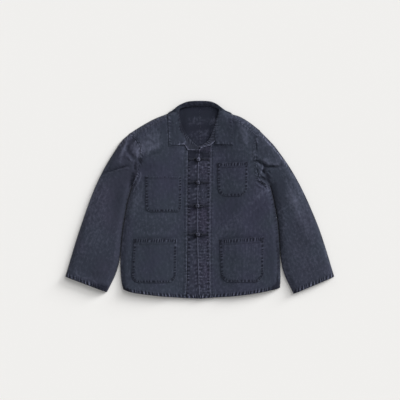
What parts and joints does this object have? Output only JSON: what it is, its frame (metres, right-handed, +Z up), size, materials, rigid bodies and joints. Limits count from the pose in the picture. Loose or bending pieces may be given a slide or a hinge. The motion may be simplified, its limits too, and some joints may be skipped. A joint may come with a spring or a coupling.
{
  "type": "denim jacket",
  "caption": "Boxy dark denim work jacket laid flat on its back, with a turned-down collar, patch pockets, long sleeves and a front closed by knot-and-loop frogs.",
  "frame": {"origin": "middle of the jacket's box, on the surface that its back lies on", "axes": "+X from the wearer's right sleeve to the left sleeve, +Y from the hem to the collar, +Z up from the surface through the front"},
  "size_m": [0.9996, 0.7361, 0.0172],
  "materials": {
    "denim": "washed dark indigo twill, matt, worn pale along its seams",
    "denim_inside": "the inside of the same denim, in shade",
    "denim_band": "doubled denim, crinkled along its stitched edges",
    "frog_cord_cloth": "dark cord sewn from the same denim, matt"
  },
  "bodies": {
    "root": {"back_right": "denim_inside", "back_left": "denim_inside", "front_right": "denim", "front_left": "denim", "band_right": "denim_band", "band_left": "denim_band", "sleeve_top_right": "denim", "sleeve_top_left": "denim", "sleeve_under_right": "denim", "sleeve_under_left": "denim", "collar_stand": "denim_inside", "collar_fall": "denim", "pocket_chest_right": "denim", "pocket_chest_left": "denim", "pocket_hip_right": "denim", "pocket_hip_left": "denim", "frog_strap_right_1": "frog_cord_cloth", "frog_strap_left_1": "frog_cord_cloth", "frog_knot_1": "frog_cord_cloth", "frog_strap_right_2": "frog_cord_cloth", "frog_strap_left_2": "frog_cord_cloth", "frog_knot_2": "frog_cord_cloth", "frog_strap_right_3": "frog_cord_cloth", "frog_strap_left_3": "frog_cord_cloth", "frog_knot_3": "frog_cord_cloth", "frog_strap_right_4": "frog_cord_cloth", "frog_strap_left_4": "frog_cord_cloth", "frog_knot_4": "frog_cord_cloth"}
  },
  "joints": []
}
